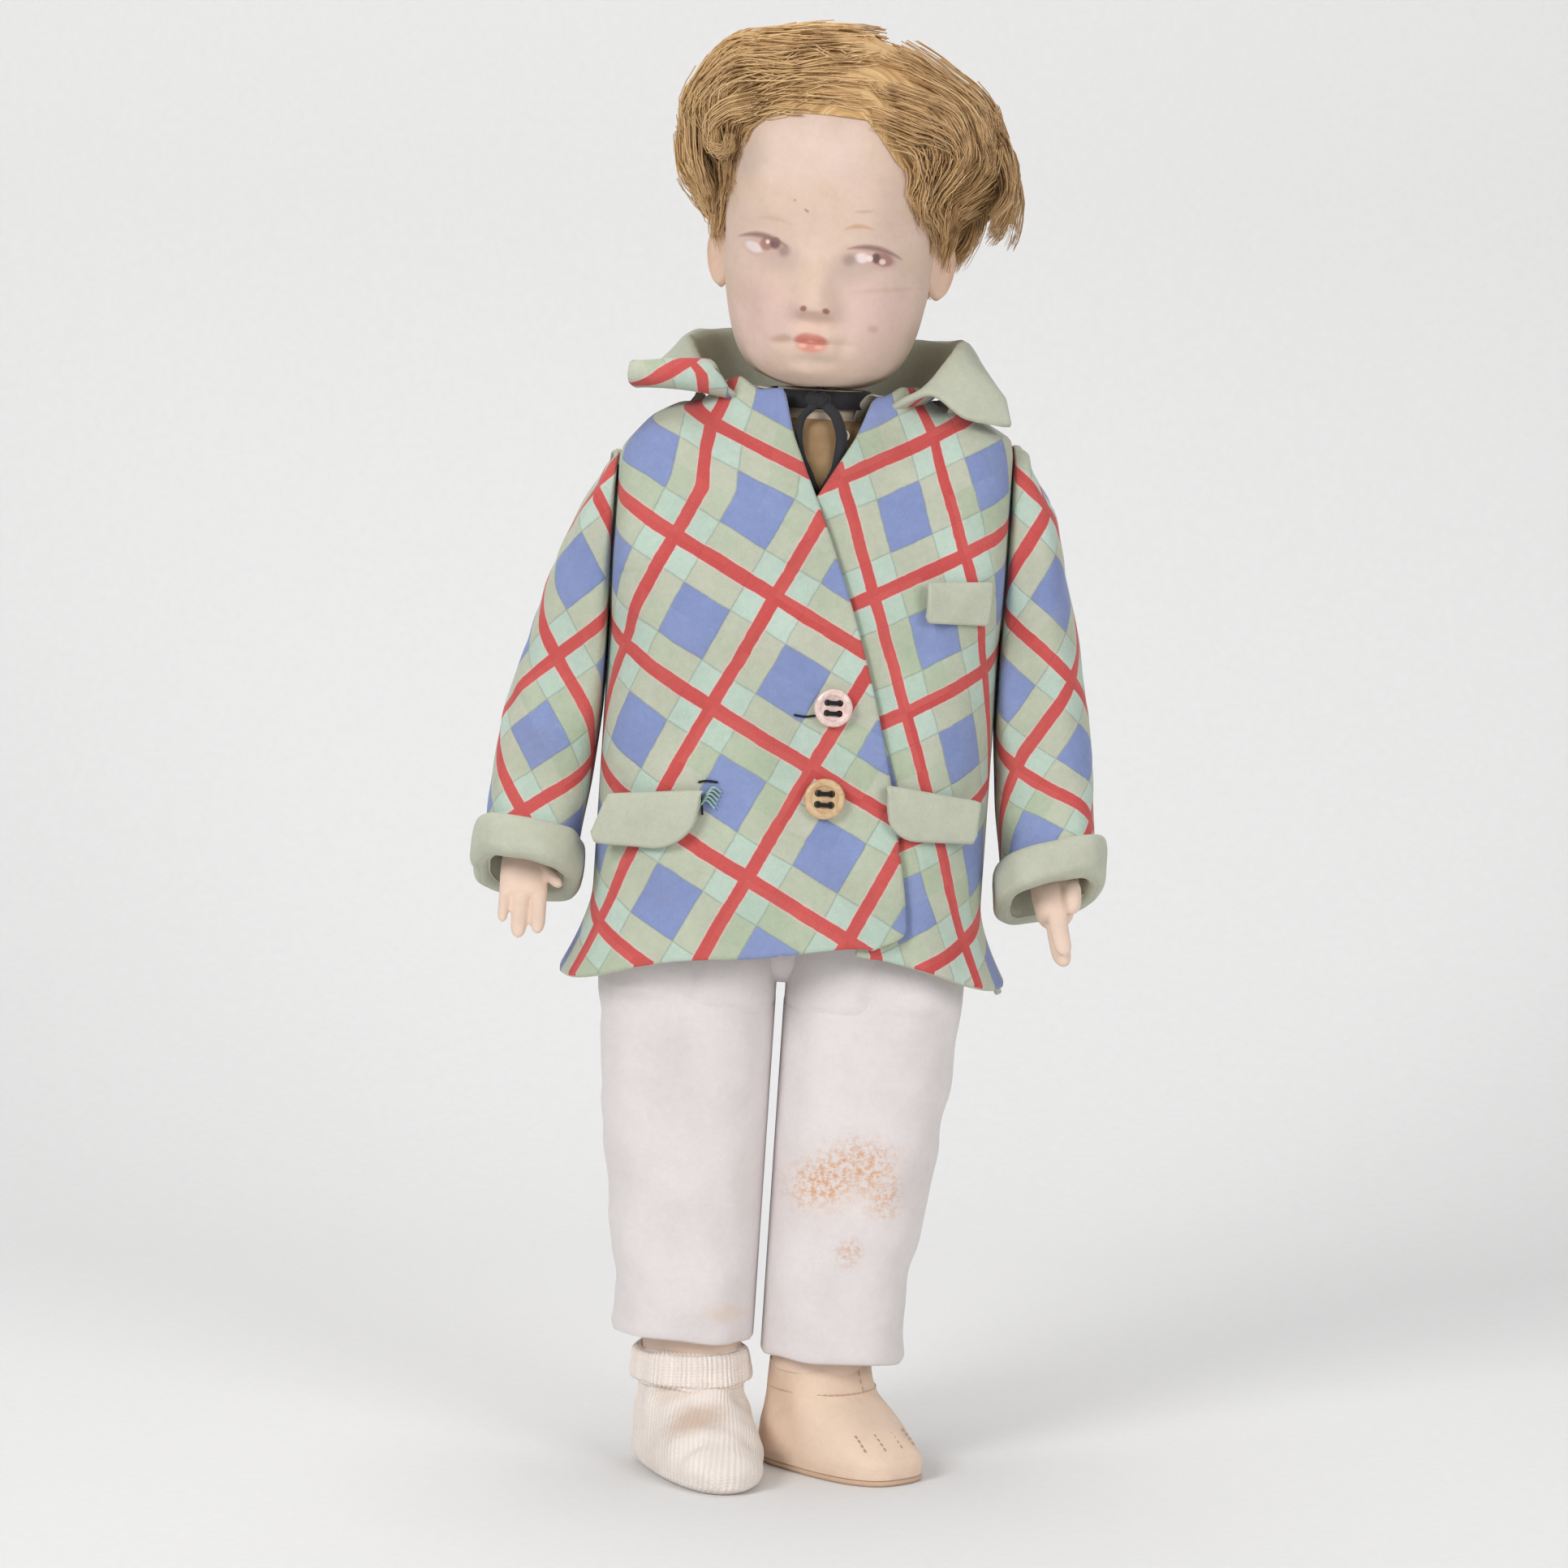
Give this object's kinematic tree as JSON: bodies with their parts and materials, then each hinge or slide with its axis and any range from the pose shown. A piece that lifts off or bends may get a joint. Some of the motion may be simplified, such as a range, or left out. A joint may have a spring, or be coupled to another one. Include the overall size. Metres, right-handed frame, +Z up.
{
  "type": "felt doll",
  "caption": "Stuffed felt boy doll with disc-jointed head, arms and legs, mohair wig, patchwork check jacket, white trousers and a knitted sock.",
  "frame": {"origin": "on the floor, under the middle of the doll's overall box", "axes": "+Z up, the doll faces -Y, +X is the doll's left"},
  "size_m": [0.1915, 0.0916, 0.4296],
  "materials": {
    "stuffing": "loose cotton",
    "fibre_disc": "matt",
    "pin_steel": "bright",
    "skin_felt": "pressed felt, painted",
    "sole_felt": "felt",
    "mohair": "combed fibre",
    "sage_felt": "felt",
    "check_felt": "patchwork check felt",
    "white_felt": "felt",
    "sock_knit": "ribbed knit",
    "black_ribbon": "satin",
    "tan_cotton": "woven",
    "pale_cotton": "woven",
    "black_thread": "thread",
    "pearl_button": "pearl",
    "tan_button": "polished"
  },
  "bodies": {
    "torso": {"torso_cover": "skin_felt", "torso_stuffing": "stuffing", "torso_discs": "fibre_disc", "joint_pins": "pin_steel", "shirt_front": "tan_cotton", "shirt_collar": "pale_cotton", "shirt_button": "pearl_button", "ribbon_band": "black_ribbon", "ribbon_knot": "black_ribbon", "ribbon_loop": "black_ribbon", "jacket_back_panel": "check_felt", "jacket_front_right": "check_felt", "jacket_front_left": "check_felt", "jacket_skirt_right": "check_felt", "jacket_skirt_left": "check_felt", "jacket_collar": "sage_felt", "breast_welt": "sage_felt", "button_upper": "pearl_button", "button_lower": "tan_button", "button_threads": "black_thread", "trouser_seat": "white_felt"},
    "head": {"head_shell": "skin_felt", "ear_right": "skin_felt", "ear_left": "skin_felt", "wig": "mohair", "head_disc": "fibre_disc"},
    "right_arm": {"right_arm_cover": "skin_felt", "right_arm_stuffing": "stuffing", "right_arm_disc": "fibre_disc", "right_hand": "skin_felt", "right_thumb": "skin_felt", "right_sleeve": "check_felt", "right_cuff": "sage_felt"},
    "left_arm": {"left_arm_cover": "skin_felt", "left_arm_stuffing": "stuffing", "left_arm_disc": "fibre_disc", "left_hand": "skin_felt", "left_thumb": "skin_felt", "left_sleeve": "check_felt", "left_cuff": "sage_felt"},
    "right_leg": {"right_leg_cover": "skin_felt", "right_leg_stuffing": "stuffing", "right_leg_disc": "fibre_disc", "right_foot": "skin_felt", "right_sole": "sole_felt", "right_sock": "sock_knit", "right_trouser_leg": "white_felt"},
    "left_leg": {"left_leg_cover": "skin_felt", "left_leg_stuffing": "stuffing", "left_leg_disc": "fibre_disc", "left_foot": "skin_felt", "left_sole": "sole_felt", "left_trouser_leg": "white_felt"},
    "right_flap": {"pocket_flap_right": "sage_felt"},
    "left_flap": {"pocket_flap_left": "sage_felt"}
  },
  "joints": [
    {"name": "neck_turn", "type": "hinge", "parent": "torso", "child": "head", "pos_m": [0.00875, -0.006, 0.32129], "axis": [0.0663, 0, 0.9978], "range_deg": [-75, 75]},
    {"name": "right_shoulder", "type": "hinge", "parent": "torso", "child": "right_arm", "pos_m": [-0.03874, -0.004, 0.28536], "axis": [-0.9978, 0, 0.0663], "range_deg": [-40, 110]},
    {"name": "left_shoulder", "type": "hinge", "parent": "torso", "child": "left_arm", "pos_m": [0.05106, -0.004, 0.2794], "axis": [-0.9978, 0, 0.0663], "range_deg": [-40, 110]},
    {"name": "right_hip", "type": "hinge", "parent": "torso", "child": "right_leg", "pos_m": [-0.01696, -0.004, 0.16064], "axis": [-0.9978, 0, 0.0663], "range_deg": [-20, 85], "deforming": ["jacket_skirt_right", "jacket_skirt_left", "trouser_seat"]},
    {"name": "left_hip", "type": "hinge", "parent": "torso", "child": "left_leg", "pos_m": [0.01298, -0.004, 0.15865], "axis": [-0.9978, 0, 0.0663], "range_deg": [-20, 85], "deforming": ["jacket_skirt_right", "jacket_skirt_left", "trouser_seat"]},
    {"name": "right_flap_lift", "type": "hinge", "parent": "torso", "child": "right_flap", "pos_m": [-0.03908, -0.04043, 0.20471], "axis": [-0.9682, 0.2419, 0.0643], "range_deg": [0, 100]},
    {"name": "left_flap_lift", "type": "hinge", "parent": "torso", "child": "left_flap", "pos_m": [0.04104, -0.04031, 0.20389], "axis": [-0.9682, -0.2419, 0.0643], "range_deg": [0, 100]}
  ]
}
